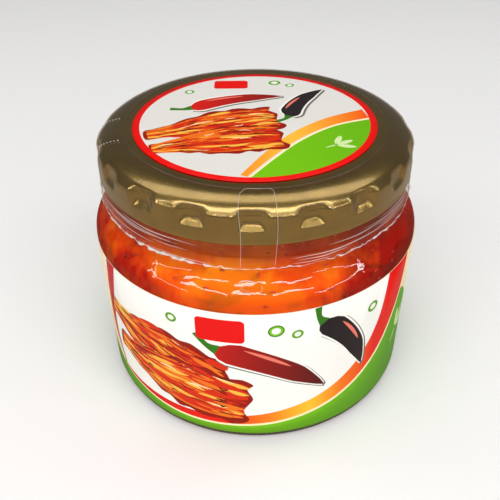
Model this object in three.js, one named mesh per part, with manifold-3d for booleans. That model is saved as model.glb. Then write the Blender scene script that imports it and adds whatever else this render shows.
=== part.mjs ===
// A squat clear glass jar of kimchi under a gold twist-off cap.
// Millimetres, +Z up, origin in the middle of the ring that the jar stands on.
import * as THREE from "three";
import { mergeVertices } from "three/addons/utils/BufferGeometryUtils.js";
import Module from "manifold-3d";

// Driving dimensions
const TOTAL_HEIGHT = 76.4;
const BODY_RADIUS = 45.9;
const BODY_WALL = 2.4;
const NECK_RADIUS = 41.4;
const NECK_WALL = 3.5;
const SHOULDER_FOOT = 48.7;
const SHOULDER_TOP = 58.9;
const CAP_RADIUS = 42.35;
const CAP_BOTTOM = 65.4;
const DIMPLES = 19;
const LABEL_RADIUS = 32.6;
const TURNS = 48; // facets round the glass, the labels and the film
const SEED = 410;

// Glass
const HEEL_RADIUS = 3;
const STANDING_RING = 5;
const PUSH_UP = 1.2;
const BASE_THICKNESS = 3.4;
const INNER_CORNER = 5;
const BEAD_RADIUS = 41.5;
const BEAD_HEIGHT = 63.3;
const BEAD_HALF = 1.4;
const FINISH_RADIUS = 40;
const RIM_HEIGHT = 73.6;
const RIM_ROUND = 1.3;

// Cap, of sheet metal
const SHEET = 0.5;
const PANEL_RADIUS = 35.6;
const CAP_EDGE = 4.1;
const CURL = 0.5;
const DIMPLE_WIDTH_DEGREES = 10.6;
const DIMPLE_SLOPE_DEGREES = 1.5;
const DIMPLE_DEPTH = 1.1;
const DIMPLE_TOP = 74.4;
const DIMPLE_BOTTOM = 69.4;
const FIRST_DIMPLE_DEGREES = -91; // the dimple nearest the front of the jar

// Paper labels and shrink film
const PAPER = 0.2;
const PAPER_GAP = 0.05;
const LABEL_BOTTOM = 3;
const LABEL_TOP = 48.2;
const FILM = 0.2;
const FILM_GAP = 0.15;
const FILM_INNER_EDGE = 35.2;
const FILM_BOTTOM = 58.6;
const FILM_WAVE = 0.7;

// Kimchi
const FILL_HEIGHT = 62.9;
const GLASS_GAP = 0.4;
const CORE_INSET = 1.8;
const LEAF_THICKNESS = 3.2;
const SHOULDER_BEND = 56.9;
const SHOULDER_EASE = 0.8;
const SHOULDER_EASE_REACH = 5;

const lidTop = TOTAL_HEIGHT - PAPER - PAPER_GAP;
const floorHeight = PUSH_UP + BASE_THICKNESS;

const wasm = await Module();
wasm.setup();

// Repeatable random numbers between 0 and 1.
function randomFrom(seed) {
  let state = seed;
  return () => {
    state = (state * 16807) % 2147483647;
    return state / 2147483647;
  };
}

function smooth(t) {
  const u = THREE.MathUtils.clamp(t, 0, 1);
  return u * u * (3 - 2 * u);
}

// Radius of a wall that narrows over the shoulder from the body to the neck.
function shoulderRadius(body, neck, z) {
  return neck + (body - neck) * smooth((SHOULDER_TOP - z) / (SHOULDER_TOP - SHOULDER_FOOT));
}

function cavityRadius(z) {
  return shoulderRadius(BODY_RADIUS - BODY_WALL, NECK_RADIUS - NECK_WALL, z);
}

function shoulderPoints(body, neck, steps) {
  return Array.from({ length: steps + 1 }, (_, i) => {
    const z = SHOULDER_FOOT + ((SHOULDER_TOP - SHOULDER_FOOT) * i) / steps;
    return [shoulderRadius(body, neck, z), z];
  });
}

// Points on a circle's arc in the profile's plane.
function arcPoints(centreRadius, centreHeight, radius, fromDegrees, toDegrees, steps) {
  return Array.from({ length: steps + 1 }, (_, i) => {
    const turn = THREE.MathUtils.degToRad(fromDegrees + ((toDegrees - fromDegrees) * i) / steps);
    return [centreRadius + radius * Math.cos(turn), centreHeight + radius * Math.sin(turn)];
  });
}

// A body turned round Z from [radius, height] points, listed upwards on its outside.
function turned(points, facets = TURNS) {
  const profile = points.map(([radius, height]) => new THREE.Vector2(radius, height));
  return new THREE.LatheGeometry(profile, facets).rotateX(Math.PI / 2);
}

// Moves every vertex of a turned body by a rule on its angle, radius and height.
function reshape(geometry, rule) {
  const position = geometry.getAttribute("position");
  for (let i = 0; i < position.count; i++) {
    const x = position.getX(i);
    const y = position.getY(i);
    const radius = Math.hypot(x, y);
    const moved = rule(Math.atan2(y, x), radius, position.getZ(i));
    position.setXYZ(i, moved.radius * Math.cos(moved.angle), moved.radius * Math.sin(moved.angle), moved.height);
  }
  return geometry;
}

function solidOf(geometry) {
  const bare = geometry.clone();
  bare.deleteAttribute("normal");
  bare.deleteAttribute("uv");
  const merged = mergeVertices(bare, 1e-3);
  return new wasm.Manifold(
    new wasm.Mesh({
      numProp: 3,
      vertProperties: merged.getAttribute("position").array,
      triVerts: new Uint32Array(merged.index.array),
    }),
  );
}

function geometryOf(solid) {
  const mesh = solid.getMesh();
  return new THREE.BufferGeometry()
    .setAttribute("position", new THREE.BufferAttribute(mesh.vertProperties, 3))
    .setIndex(new THREE.BufferAttribute(mesh.triVerts, 1));
}

// The largest outer surface alone, so that sealed hollows are filled and loose scraps dropped.
function outerBody(solid) {
  return solid.decompose().reduce((largest, next) => (next.volume() > largest.volume() ? next : largest));
}

function material(color, roughness, metalness, opacity = 1) {
  return new THREE.MeshStandardMaterial({ color, roughness, metalness, opacity, transparent: opacity < 1 });
}

function sketchGlass() {
  const heelCentre = BODY_RADIUS - HEEL_RADIUS;
  const cavity = BODY_RADIUS - BODY_WALL;
  const neckCavity = NECK_RADIUS - NECK_WALL;
  const outside = [
    [0, PUSH_UP],
    [heelCentre - STANDING_RING - PUSH_UP, PUSH_UP],
    [heelCentre - STANDING_RING, 0],
    ...arcPoints(heelCentre, HEEL_RADIUS, HEEL_RADIUS, -90, 0, 4),
    ...shoulderPoints(BODY_RADIUS, NECK_RADIUS, 5),
    [BEAD_RADIUS - 1, BEAD_HEIGHT - BEAD_HALF],
    [BEAD_RADIUS, BEAD_HEIGHT - BEAD_HALF / 2],
    [BEAD_RADIUS, BEAD_HEIGHT + BEAD_HALF / 2],
    [FINISH_RADIUS, BEAD_HEIGHT + BEAD_HALF],
    [FINISH_RADIUS, RIM_HEIGHT - RIM_ROUND],
    [FINISH_RADIUS - RIM_ROUND, RIM_HEIGHT],
  ];
  const inside = [
    [neckCavity, RIM_HEIGHT],
    ...shoulderPoints(cavity, neckCavity, 5).reverse(),
    ...arcPoints(cavity - INNER_CORNER, floorHeight + INNER_CORNER, INNER_CORNER, 0, -90, 3),
    [0, floorHeight],
  ];
  return turned([...outside, ...inside]);
}

// The cap's outer line from the panel's edge, over the rounded edge and down the skirt.
function capShoulder(offset, steps) {
  const reach = CAP_RADIUS + offset - PANEL_RADIUS;
  return Array.from({ length: steps + 1 }, (_, i) => {
    const turn = (Math.PI / 2) * (i / steps);
    return [
      PANEL_RADIUS + reach * Math.sin(turn),
      lidTop + offset - CAP_EDGE * Math.pow(1 - Math.cos(turn), 0.88),
    ];
  }).reverse();
}

function sketchCap() {
  const skirt = [DIMPLE_BOTTOM - 0.6, DIMPLE_BOTTOM + 0.6].map((z) => [CAP_RADIUS, z]);
  const outside = [
    [CAP_RADIUS - SHEET - CURL, CAP_BOTTOM],
    [CAP_RADIUS - CURL / 2, CAP_BOTTOM],
    [CAP_RADIUS, CAP_BOTTOM + CURL],
    ...skirt,
    ...capShoulder(0, 5),
    [0, lidTop],
  ];
  const inside = [
    [0, lidTop - SHEET],
    ...capShoulder(-SHEET, 3).reverse(),
    ...skirt.map(([, z]) => [CAP_RADIUS - SHEET, z]).reverse(),
    [CAP_RADIUS - SHEET - CURL, CAP_BOTTOM + 2 * CURL],
  ];
  const columns = [
    -DIMPLE_WIDTH_DEGREES / 2,
    -DIMPLE_WIDTH_DEGREES / 2 + DIMPLE_SLOPE_DEGREES,
    DIMPLE_WIDTH_DEGREES / 2 - DIMPLE_SLOPE_DEGREES,
    DIMPLE_WIDTH_DEGREES / 2,
    180 / DIMPLES,
  ];
  const facets = columns.length * DIMPLES;
  const profile = [...outside, ...inside, outside[0]];
  return reshape(turned(profile, facets), (angle, radius, height) => {
    const column = Math.round((angle / (2 * Math.PI)) * facets + 10 * facets) % facets;
    const place = column % columns.length;
    const pitch = Math.floor(column / columns.length) * (360 / DIMPLES);
    const pressed = place === 1 || place === 2;
    const high = height < DIMPLE_TOP && height > DIMPLE_BOTTOM && radius > PANEL_RADIUS + 3;
    return {
      angle: THREE.MathUtils.degToRad(FIRST_DIMPLE_DEGREES + pitch + columns[place]),
      radius: pressed && high ? radius - DIMPLE_DEPTH : radius,
      height,
    };
  });
}

function sketchCapLabel() {
  const bottom = lidTop + PAPER_GAP;
  return turned([
    [0, bottom],
    [LABEL_RADIUS, bottom],
    [LABEL_RADIUS, bottom + PAPER],
    [0, bottom + PAPER],
  ]);
}

function sketchBodyLabel() {
  const inner = BODY_RADIUS + PAPER_GAP;
  return turned([
    [inner, LABEL_BOTTOM],
    [inner + PAPER, LABEL_BOTTOM],
    [inner + PAPER, LABEL_TOP],
    [inner, LABEL_TOP],
    [inner, LABEL_BOTTOM],
  ]);
}

// Clear film shrunk over the cap's edge and skirt and down to the glass shoulder.
function sketchFilm() {
  const skin = (offset) => [
    [NECK_RADIUS + 0.75 + offset, FILM_BOTTOM],
    [CAP_RADIUS + offset, FILM_BOTTOM + 2.4],
    [CAP_RADIUS + offset, CAP_BOTTOM],
    ...capShoulder(offset, 5).slice(0, -1),
    [FILM_INNER_EDGE, lidTop + offset],
  ];
  const outside = skin(FILM_GAP + FILM);
  const inside = skin(FILM_GAP).reverse();
  return reshape(turned([...outside, ...inside, outside[0]]), (angle, radius, height) => {
    const atEdge = height < FILM_BOTTOM + 1;
    const wave = Math.sin(3 * angle + 0.6) + 0.6 * Math.sin(7 * angle + 2);
    return { angle, radius, height: atEdge ? height + FILM_WAVE * wave : height };
  });
}

// The wall's radius less an ease where the shoulder curves inwards, as a leaf bridges that bend.
function leafRadius(z) {
  const bend = smooth(1 - Math.abs(z - SHOULDER_BEND) / SHOULDER_EASE_REACH);
  return cavityRadius(z) - GLASS_GAP - SHOULDER_EASE * bend;
}

// A piece of napa cabbage pressed against the inside of the glass.
function wallLeaf(random, angle, height, inset) {
  const width = 15 + 16 * random();
  const tall = 9 + 8 * random();
  const thick = LEAF_THICKNESS * (0.75 + 0.5 * random());
  const tilt = (random() - 0.5) * 1.1;
  const phase = random() * 6;
  const geometry = new THREE.BoxGeometry(width, tall, thick, 4, 3, 1);
  const position = geometry.getAttribute("position");
  for (let i = 0; i < position.count; i++) {
    const x = position.getX(i);
    const y = position.getY(i);
    const ragged = 1 + 0.16 * Math.sin(phase + x * 0.5) - 0.2 * Math.pow((2 * x) / width, 4);
    const along = x * Math.cos(tilt) - y * ragged * Math.sin(tilt);
    const up = x * Math.sin(tilt) + y * ragged * Math.cos(tilt);
    const z = THREE.MathUtils.clamp(height + up, floorHeight + GLASS_GAP, FILL_HEIGHT + 0.5);
    const ripple = 0.5 + 0.5 * Math.sin(phase + x * 0.42 + y * 0.3);
    const depth = thick / 2 - position.getZ(i);
    const radius = leafRadius(z) - inset * ripple - depth;
    const turn = angle + along / cavityRadius(z);
    position.setXYZ(i, radius * Math.cos(turn), radius * Math.sin(turn), z);
  }
  return geometry;
}

// A piece of cabbage lying on the glass floor, seen through the base.
function floorLeaf(random, angle, distance) {
  const width = 20 + 12 * random();
  const tall = 13 + 8 * random();
  const phase = random() * 6;
  const turn = random() * Math.PI;
  const geometry = new THREE.BoxGeometry(width, tall, LEAF_THICKNESS, 4, 2, 1);
  const position = geometry.getAttribute("position");
  for (let i = 0; i < position.count; i++) {
    const x = position.getX(i);
    const y = position.getY(i);
    const ragged = 1 + 0.15 * Math.sin(phase + x * 0.4) - 0.2 * Math.pow((2 * x) / width, 4);
    const ripple = 0.3 * (1 + Math.sin(phase + x * 0.4 + y * 0.3));
    position.setXYZ(
      i,
      distance * Math.cos(angle) + x * Math.cos(turn) - y * ragged * Math.sin(turn),
      distance * Math.sin(angle) + x * Math.sin(turn) + y * ragged * Math.cos(turn),
      floorHeight + GLASS_GAP + ripple + position.getZ(i) + LEAF_THICKNESS / 2,
    );
  }
  return geometry;
}

function sketchKimchiCore() {
  const inset = GLASS_GAP + CORE_INSET;
  const corner = INNER_CORNER + 1;
  const side = [52.4, 56.4].map((z) => [cavityRadius(z) - inset, z]);
  const belly = BODY_RADIUS - BODY_WALL - inset;
  const profile = [
    [0, floorHeight + inset],
    [belly - corner, floorHeight + inset],
    ...arcPoints(belly - corner, floorHeight + inset + corner, corner, -90, 0, 2).slice(1),
    [belly, 25],
    [belly, 38],
    [belly, SHOULDER_FOOT],
    ...side,
    [cavityRadius(FILL_HEIGHT) - inset, FILL_HEIGHT - 3],
    [28, FILL_HEIGHT - 1],
    [12, FILL_HEIGHT],
    [0, FILL_HEIGHT - 0.6],
  ];
  return reshape(turned(profile, TURNS / 2), (angle, radius, height) => {
    const bump = Math.sin(5 * angle + height * 0.35) + Math.sin(9 * angle - height * 0.6 + 1);
    const share = radius > 1 ? 1 : 0;
    return { angle, radius: radius - share * 0.35 * (1 + bump), height: height + share * 0.2 * bump };
  });
}

// The kimchi is one heap: a smaller core with the pieces that show against the glass fused on.
function sketchKimchi() {
  const random = randomFrom(SEED);
  let heap = solidOf(sketchKimchiCore());
  const rows = [
    { height: 46.9, count: 9, inset: 0.4 },
    { height: 54.4, count: 10, inset: 1 },
    { height: 60.4, count: 6, inset: 0.6 },
  ];
  rows.forEach(({ height, count, inset }, row) => {
    for (let i = 0; i < count; i++) {
      const angle = ((i + 0.45 * row + 0.4 * random()) / count) * 2 * Math.PI;
      const leaf = wallLeaf(random, angle, height + 3 * (random() - 0.5), inset + random());
      heap = heap.add(solidOf(leaf));
    }
  });
  const floorRing = 5;
  for (let i = 0; i < floorRing; i++) {
    const angle = ((i + 0.5 * random()) / floorRing) * 2 * Math.PI;
    heap = heap.add(solidOf(floorLeaf(random, angle, 17 + 3 * random())));
  }
  return geometryOf(outerBody(heap));
}

const jar = new THREE.Group();
const pieces = [
  ["jar_glass", sketchGlass(), material(0xe9efe9, 0.04, 0, 0.3)],
  ["kimchi", sketchKimchi(), material(0xd4520a, 0.4, 0)],
  ["cap", sketchCap(), material(0xa58a4e, 0.28, 0.9)],
  ["cap_label", sketchCapLabel(), material(0xe8e6e0, 0.4, 0)],
  ["body_label", sketchBodyLabel(), material(0xf2efe9, 0.35, 0)],
  ["shrink_film", sketchFilm(), material(0xf4f4f4, 0.1, 0, 0.2)],
];
for (const [name, geometry, finish] of pieces) {
  const mesh = new THREE.Mesh(geometry, finish);
  mesh.name = name;
  jar.add(mesh);
}

export default jar;
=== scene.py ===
import math
import random

import bpy
from mathutils import Matrix, Vector, noise
from mathutils.geometry import delaunay_2d_cdt


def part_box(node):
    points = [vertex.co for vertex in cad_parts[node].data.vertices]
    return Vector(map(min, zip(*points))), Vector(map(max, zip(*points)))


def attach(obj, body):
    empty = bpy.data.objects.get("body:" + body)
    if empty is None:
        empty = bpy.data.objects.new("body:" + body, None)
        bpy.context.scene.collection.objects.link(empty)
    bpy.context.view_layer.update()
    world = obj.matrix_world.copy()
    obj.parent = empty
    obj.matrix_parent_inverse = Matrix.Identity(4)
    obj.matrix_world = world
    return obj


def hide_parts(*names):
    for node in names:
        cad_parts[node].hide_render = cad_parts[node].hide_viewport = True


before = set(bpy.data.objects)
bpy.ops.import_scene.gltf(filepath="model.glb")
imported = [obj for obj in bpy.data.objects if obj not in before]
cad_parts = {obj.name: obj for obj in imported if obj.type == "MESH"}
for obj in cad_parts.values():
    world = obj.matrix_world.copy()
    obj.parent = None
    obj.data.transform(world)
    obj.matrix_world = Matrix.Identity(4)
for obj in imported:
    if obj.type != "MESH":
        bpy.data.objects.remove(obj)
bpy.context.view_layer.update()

# Sizes are in millimetres and turn into metres where a mesh is made.
MM = 0.001
TAU = 2 * math.pi


def size_of(node):
    """Radius, lowest and highest point of a CAD node, in millimetres."""
    low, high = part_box(node)
    return high.x / MM, low.z / MM, high.z / MM


BODY_RADIUS, _, RIM_HEIGHT = size_of("jar_glass")
_, CAP_BOTTOM, CAP_TOP = size_of("cap")
LABEL_RADIUS, LABEL_BOTTOM, LABEL_TOP = size_of("body_label")
CAP_LABEL_RADIUS, CAP_LABEL_BOTTOM, CAP_LABEL_TOP = size_of("cap_label")
TOTAL_HEIGHT = CAP_LABEL_TOP
LABEL_HEIGHT = LABEL_TOP - LABEL_BOTTOM

# Glass
BODY_WALL = 2.4
NECK_RADIUS = 41.4
NECK_WALL = 3.5
CAVITY_RADIUS = BODY_RADIUS - BODY_WALL
MOUTH_RADIUS = NECK_RADIUS - NECK_WALL
SHOULDER_FOOT = LABEL_TOP + 0.5
SHOULDER_TOP = CAP_BOTTOM - 6.5
HEEL_RADIUS = 3
STANDING_RING = 5
PUSH_UP = 1.2
BASE_THICKNESS = 3.4
FLOOR_HEIGHT = PUSH_UP + BASE_THICKNESS
INNER_CORNER = 5
BEAD_RADIUS = 41.5
BEAD_HEIGHT = CAP_BOTTOM - 2.1
BEAD_HALF = 1.4
FINISH_RADIUS = 40

# Cap, with the radius of its skirt between the dimples
CAP_RADIUS = 42.35
SHEET = 0.4
CURL = 0.5
PANEL_RADIUS = 35.6
CAP_EDGE = 4.1
CAP_EDGE_POWER = 0.88
DIMPLES = 19
DIMPLE_HALF_WIDTH = 4.6
DIMPLE_DEPTH = 1.35
DIMPLE_SIDE = 3.2
DIMPLE_SLOPE = 2.5
DIMPLE_END = 1.8
DIMPLE_BOTTOM = CAP_BOTTOM + 3.8
DIMPLE_TOP = CAP_TOP - 1.5
FIRST_DIMPLE = math.radians(-1)

# Film, with the share of a dimple's depth that it follows
FILM = 0.1
FILM_GAP = 0.12
FILM_SAG = 0.75
FILM_INNER_EDGE = 35.2
FILM_BOTTOM = SHOULDER_TOP - 0.9

# Kimchi, with the heights between which it shows
FILL_HEIGHT = CAP_BOTTOM + 1
BAND_FOOT = LABEL_TOP - 1.7


def smooth(t):
    """An even rise from 0 to 1 while t goes from 0 to 1."""
    u = min(max(t, 0.0), 1.0)
    return u * u * (3 - 2 * u)


def mix(a, b, t):
    return a + (b - a) * t


def wobble(x, y, z):
    """Smooth noise between about -1 and 1."""
    return noise.noise(Vector((x, y, z)))


def around(radius, angle, z):
    """A point at an angle from the front of the jar, to the right if positive."""
    return (radius * math.sin(angle), -radius * math.cos(angle), z)


def spun(x, y, u, v, turn):
    """The point (x, y) moved by (u, v), which is turned by an angle first."""
    return (x + u * math.cos(turn) - v * math.sin(turn), y + u * math.sin(turn) + v * math.cos(turn))


def shoulder_radius(body, neck, z):
    """Radius of a wall that narrows over the shoulder from the body to the neck."""
    return neck + (body - neck) * smooth((SHOULDER_TOP - z) / (SHOULDER_TOP - SHOULDER_FOOT))


def glass_radius(z):
    return shoulder_radius(BODY_RADIUS, NECK_RADIUS, z)


def cavity_radius(z):
    return shoulder_radius(CAVITY_RADIUS, MOUTH_RADIUS, z)


def shoulder_line(body, neck, steps=24):
    heights = [mix(SHOULDER_FOOT, SHOULDER_TOP, i / steps) for i in range(steps + 1)]
    return [(shoulder_radius(body, neck, z), z) for z in heights]


# Meshes
def add_object(name, data):
    made = bpy.data.objects.new(name, data)
    bpy.context.scene.collection.objects.link(made)
    return made


def make_piece(name, points, faces, slot, replaces=None, materials=(), indices=None, uv=None):
    """A mesh object from points in millimetres, riding on the jar."""
    mesh = bpy.data.meshes.new(name)
    mesh.from_pydata([(x * MM, y * MM, z * MM) for x, y, z in points], [], faces)
    for made in materials:
        mesh.materials.append(made)
    if indices:
        mesh.polygons.foreach_set("material_index", indices)
    if uv:
        layer = mesh.uv_layers.new(name="Print")
        for loop in mesh.loops:
            layer.data[loop.index].uv = uv[loop.vertex_index]
    mesh.polygons.foreach_set("use_smooth", [True] * len(mesh.polygons))
    mesh.validate()
    mesh.update()
    piece = add_object(name, mesh)
    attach(piece, "root")
    if replaces:
        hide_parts(replaces)
    return piece


def ring_points(rings, columns, rule=None):
    """Points round Z at each (radius, height), the radius changed by the rule if there is one."""
    points = []
    for radius, z in rings:
        for i in range(columns):
            angle = TAU * i / columns
            points.append(around(rule(radius, angle, z) if rule else radius, angle, z))
    return points


def skin_faces(rings, columns, first=0, looped=False):
    """Quads between rings of as many points each."""
    faces = []
    last = rings if looped else rings - 1
    for ring in range(last):
        low = first + ring * columns
        high = first + ((ring + 1) % rings) * columns
        for i in range(columns):
            j = (i + 1) % columns
            faces.append((low + i, low + j, high + j, high + i))
    return faces


def turned(profile, columns, rule=None):
    """Points and faces of a body turned round Z. Its profile starts and ends on the axis and goes
    upwards on the outside."""
    rings = profile[1:-1]
    points = ring_points(rings, columns, rule)
    faces = skin_faces(len(rings), columns)
    start, end = len(points), len(points) + 1
    points += [(0, 0, profile[0][1]), (0, 0, profile[-1][1])]
    top = (len(rings) - 1) * columns
    for i in range(columns):
        j = (i + 1) % columns
        faces += [(start, j, i), (end, top + i, top + j)]
    return points, faces


def rounded(corners, step=0.5):
    """The (radius, height, fillet) corners as a line with rounded corners."""
    line = []
    for k, (x, y, fillet) in enumerate(corners):
        here = Vector((x, y))
        if fillet <= 0 or k in (0, len(corners) - 1):
            line.append((x, y))
            continue
        before = (Vector(corners[k - 1][:2]) - here).normalized()
        after = (Vector(corners[k + 1][:2]) - here).normalized()
        half = before.angle(after) / 2
        reach = fillet / math.tan(half)
        centre = here + (before + after).normalized() * (fillet / math.sin(half))
        start = here + before * reach - centre
        end = here + after * reach - centre
        sweep = start.angle_signed(end)
        steps = max(3, int(abs(sweep) * fillet / step) + 1)
        turn = math.atan2(start.y, start.x)
        for i in range(steps + 1):
            angle = turn - sweep * i / steps
            line.append((centre.x + fillet * math.cos(angle), centre.y + fillet * math.sin(angle)))
    return line


# Material helpers
def linear(red, green, blue):
    """A screen colour from 0 to 255 as Blender's linear one."""
    values = [v / 255 for v in (red, green, blue)]
    return tuple([v / 12.92 if v <= 0.04045 else ((v + 0.055) / 1.055) ** 2.4 for v in values] + [1.0])


def node(tree, kind, inputs=None, **settings):
    """A shader node with its settings made and its inputs set or linked."""
    made = tree.nodes.new(kind)
    for name, value in settings.items():
        setattr(made, name, value)
    for socket, value in (inputs or {}).items():
        if isinstance(value, bpy.types.NodeSocket):
            tree.links.new(value, made.inputs[socket])
        else:
            made.inputs[socket].default_value = value
    return made


def principled(name, values):
    """A material of one Principled shader: the material, its tree and the shader."""
    made = bpy.data.materials.new(name)
    made.use_nodes = True
    shader = made.node_tree.nodes["Principled BSDF"]
    for socket, value in values.items():
        shader.inputs[socket].default_value = value
    return made, made.node_tree, shader


def bare(name):
    """A material without a shader, and its tree."""
    made, tree, shader = principled(name, {})
    tree.nodes.remove(shader)
    return made, tree


def paint(tree, shader, colour):
    tree.links.new(colour, shader.inputs["Base Color"])


def show(tree, shader):
    tree.links.new(shader, tree.nodes["Material Output"].inputs["Surface"])


def bsdf(tree, kind, inputs):
    return node(tree, "ShaderNodeBsdf" + kind, inputs).outputs["BSDF"]


def both(tree, share, first, second):
    """The first shader with a share of the second."""
    return node(tree, "ShaderNodeMixShader", {0: share, 1: first, 2: second}).outputs["Shader"]


def blend(tree, share, first, second):
    """The first colour with a share of the second."""
    inputs = {0: share, "A": first, "B": second}
    return node(tree, "ShaderNodeMix", inputs, data_type="RGBA").outputs["Result"]


def maths(tree, operation, *values):
    return node(tree, "ShaderNodeMath", dict(enumerate(values)), operation=operation).outputs[0]


def ramp(tree, factor, stops):
    """A colour ramp through (place, colour) stops."""
    made = node(tree, "ShaderNodeValToRGB", {"Fac": factor})
    elements = made.color_ramp.elements
    while len(elements) < len(stops):
        elements.new(0.5)
    for element, (at, colour) in zip(elements, stops):
        element.position = at
        element.color = colour
    return made.outputs["Color"]


def axes_of(tree, vector):
    return node(tree, "ShaderNodeSeparateXYZ", {"Vector": vector}).outputs


def object_axes(tree):
    return axes_of(tree, node(tree, "ShaderNodeTexCoord").outputs["Object"])


def speckle(tree, scale, detail, roughness=0.5, stretch=(1, 1, 1)):
    """Noise over the surface, with the scale for each millimetre."""
    where = node(tree, "ShaderNodeTexCoord").outputs["Object"]
    inputs = {"Vector": where, "Scale": tuple(s / MM for s in stretch)}
    vector = node(tree, "ShaderNodeMapping", inputs).outputs["Vector"]
    inputs = {"Vector": vector, "Scale": scale, "Detail": detail, "Roughness": roughness}
    return node(tree, "ShaderNodeTexNoise", inputs).outputs["Fac"]


def ranged(tree, value, low, high, to_low, to_high):
    inputs = {"Value": value, "From Min": low, "From Max": high, "To Min": to_low, "To Max": to_high}
    return node(tree, "ShaderNodeMapRange", inputs).outputs["Result"]


def bump_of(tree, height, strength, distance):
    inputs = {"Height": height, "Strength": strength, "Distance": distance * MM}
    return node(tree, "ShaderNodeBump", inputs).outputs["Normal"]


def add_bump(tree, shader, height, strength, distance):
    bump = bump_of(tree, height, strength, distance)
    tree.links.new(bump, shader.inputs["Normal"])
    return bump


def edge_shine(tree, power, low, high, **normal):
    """Share of mirrored light, from low where a face is seen straight on to high at its edge."""
    facing = node(tree, "ShaderNodeLayerWeight", {"Blend": 0.5, **normal}).outputs["Facing"]
    return ranged(tree, maths(tree, "POWER", facing, power), 0.0, 1.0, low, high)


def let_lamps_through(tree, colour):
    """Lamps shine through the material as tinted, so that what is behind it is lit."""
    shader = tree.nodes["Material Output"].inputs["Surface"].links[0].from_socket
    is_shadow = node(tree, "ShaderNodeLightPath").outputs["Is Shadow Ray"]
    show(tree, both(tree, is_shadow, shader, bsdf(tree, "Transparent", {"Color": colour})))


# Materials of the glass, the film and the cap
def glass_material():
    """Clear glass. Its outer face mirrors little at its edges, so that the contents show up to them."""
    tint = (0.97, 0.99, 0.98, 1)
    values = {"Roughness": 0.0, "IOR": 1.45}
    made, tree, inner = principled("Clear glass", {"Base Color": tint, "Transmission Weight": 1.0, **values})
    ripples = speckle(tree, 0.12, 2.0, stretch=(1, 1, 0.7))
    bump = add_bump(tree, inner, ripples, 0.25, 1.0)
    bent = bsdf(tree, "Refraction", {"Color": tint, "Normal": bump, **values})
    gloss = bsdf(tree, "Glossy", {"Roughness": 0.0, "Normal": bump})
    outer = both(tree, edge_shine(tree, 4.0, 0.035, 0.14), bent, gloss)
    behind = node(tree, "ShaderNodeNewGeometry").outputs["Backfacing"]
    show(tree, both(tree, behind, outer, inner.outputs["BSDF"]))
    let_lamps_through(tree, (0.93, 0.96, 0.94, 1))
    return made


def wetted_material():
    """The glass wall's inner face where brine wets it: it neither bends nor reflects light."""
    made, tree = bare("Wetted glass")
    show(tree, bsdf(tree, "Transparent", {"Color": (0.99, 0.995, 0.99, 1)}))
    return made


def film_material():
    """Clear shrunk film: it shows what is behind it and glints."""
    made, tree = bare("Shrunk film")
    stretched = speckle(tree, 0.5, 3.0, stretch=(0.25, 0.25, 1.6))
    creased = speckle(tree, 0.35, 2.0)
    bump = bump_of(tree, maths(tree, "ADD", stretched, creased), 0.08, 0.3)
    shine = edge_shine(tree, 5.0, 0.012, 0.5, Normal=bump)
    clear = bsdf(tree, "Transparent", {"Color": (0.985, 0.98, 0.975, 1)})
    gloss = bsdf(tree, "Glossy", {"Roughness": 0.06, "Normal": bump})
    show(tree, both(tree, shine, clear, gloss))
    return made


def marks_and_glints_material():
    """Whitened film, as at a perforation, and white painted highlights along the weld's outline, the
    creases, curls and lip and a loop on the glass.
    """
    made, tree, shader = principled("Whitened film and painted glints", {"Roughness": 0.25, "Alpha": 0.7})
    spots = speckle(tree, 0.8, 2.0)
    paint(tree, shader, ramp(tree, spots, [(0.3, (0.8, 0.78, 0.72, 1)), (0.7, (0.95, 0.94, 0.9, 1))]))
    return made


def cap_material():
    """Gold lacquer on sheet metal, with faint rolling marks and mottling."""
    values = {"Metallic": 1.0, "Coat Weight": 0.3, "Coat Roughness": 0.08}
    made, tree, shader = principled("Gold lacquer", values)
    mottle = speckle(tree, 0.12, 5.0, 0.6)
    stops = [(0.3, (0.35, 0.235, 0.07, 1)), (0.7, (0.43, 0.295, 0.092, 1))]
    paint(tree, shader, ramp(tree, mottle, stops))
    grain = speckle(tree, 1.2, 3.0, stretch=(1, 6, 1))
    tree.links.new(ranged(tree, grain, 0.3, 0.7, 0.16, 0.26), shader.inputs["Roughness"])
    add_bump(tree, shader, grain, 0.08, 0.2)
    return made


# Materials of the kimchi
# Painted light and shade: the contents are palest at this plane and deeper red away from it.
PAINTED_LIGHT_PLANE = -5


def off_painted_light(tree, x):
    """Distance of an X coordinate from the plane, left of the middle, where painted light makes the contents
    palest.
    """
    return maths(tree, "ABSOLUTE", maths(tree, "ADD", x, -PAINTED_LIGHT_PLANE * MM))


def paint_side_shade(tree, colour, red, high):
    """Mixes a colour into a deeper red as painted shade, from 18 to so many millimetres off the most lit
    plane.
    """
    off = off_painted_light(tree, object_axes(tree)["X"])
    return blend(tree, ranged(tree, off, 18 * MM, high * MM, 0.0, 0.9), colour, red)


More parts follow.
